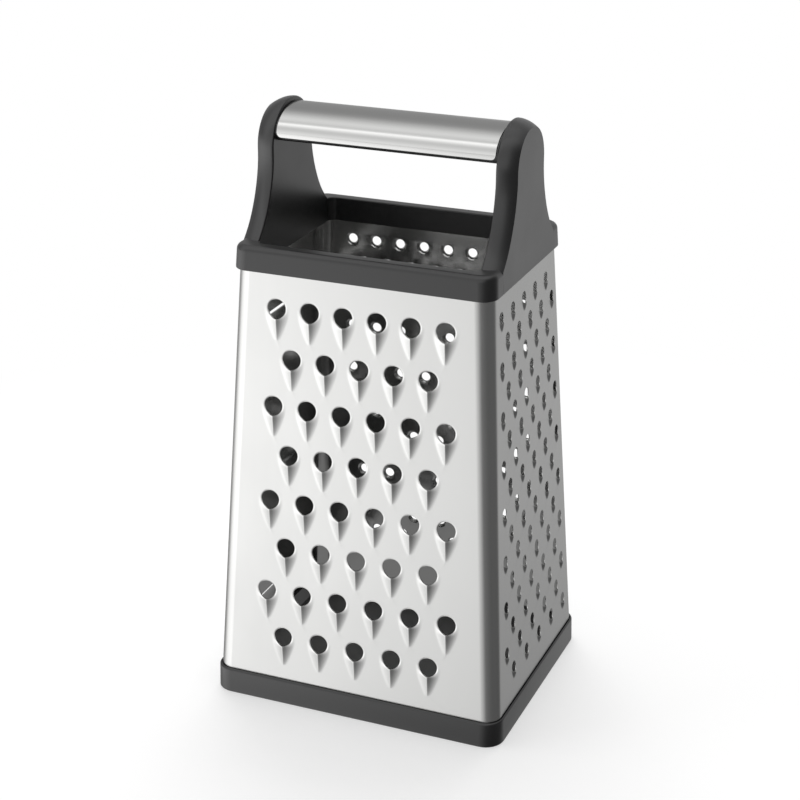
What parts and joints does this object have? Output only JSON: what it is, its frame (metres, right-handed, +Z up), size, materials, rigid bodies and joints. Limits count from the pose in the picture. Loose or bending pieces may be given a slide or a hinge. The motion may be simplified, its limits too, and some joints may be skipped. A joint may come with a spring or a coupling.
{
  "type": "box grater",
  "caption": "Four-sided steel box grater with coarse, medium, fine and slicing faces, a plastic base rim and a carrying grip between two arms.",
  "frame": {"origin": "on the floor under the middle of the base rim", "axes": "+Z up, +X to the right along the coarse face, +Y from the coarse face towards the fine face"},
  "size_m": [0.12, 0.098, 0.23],
  "materials": {
    "plate_steel": "satin stainless sheet with a fine grain",
    "cover_steel": "stainless sheet brushed along the grip",
    "frame_plastic": "dark grey satin moulding",
    "core_plastic": "dark grey satin moulding"
  },
  "bodies": {
    "root": {"coarse_plate": "plate_steel", "medium_plate": "plate_steel", "fine_plate": "plate_steel", "slicer_plate": "plate_steel", "base_rim": "frame_plastic", "top_frame": "frame_plastic", "grip_core": "core_plastic", "grip_cover": "cover_steel"}
  },
  "joints": []
}
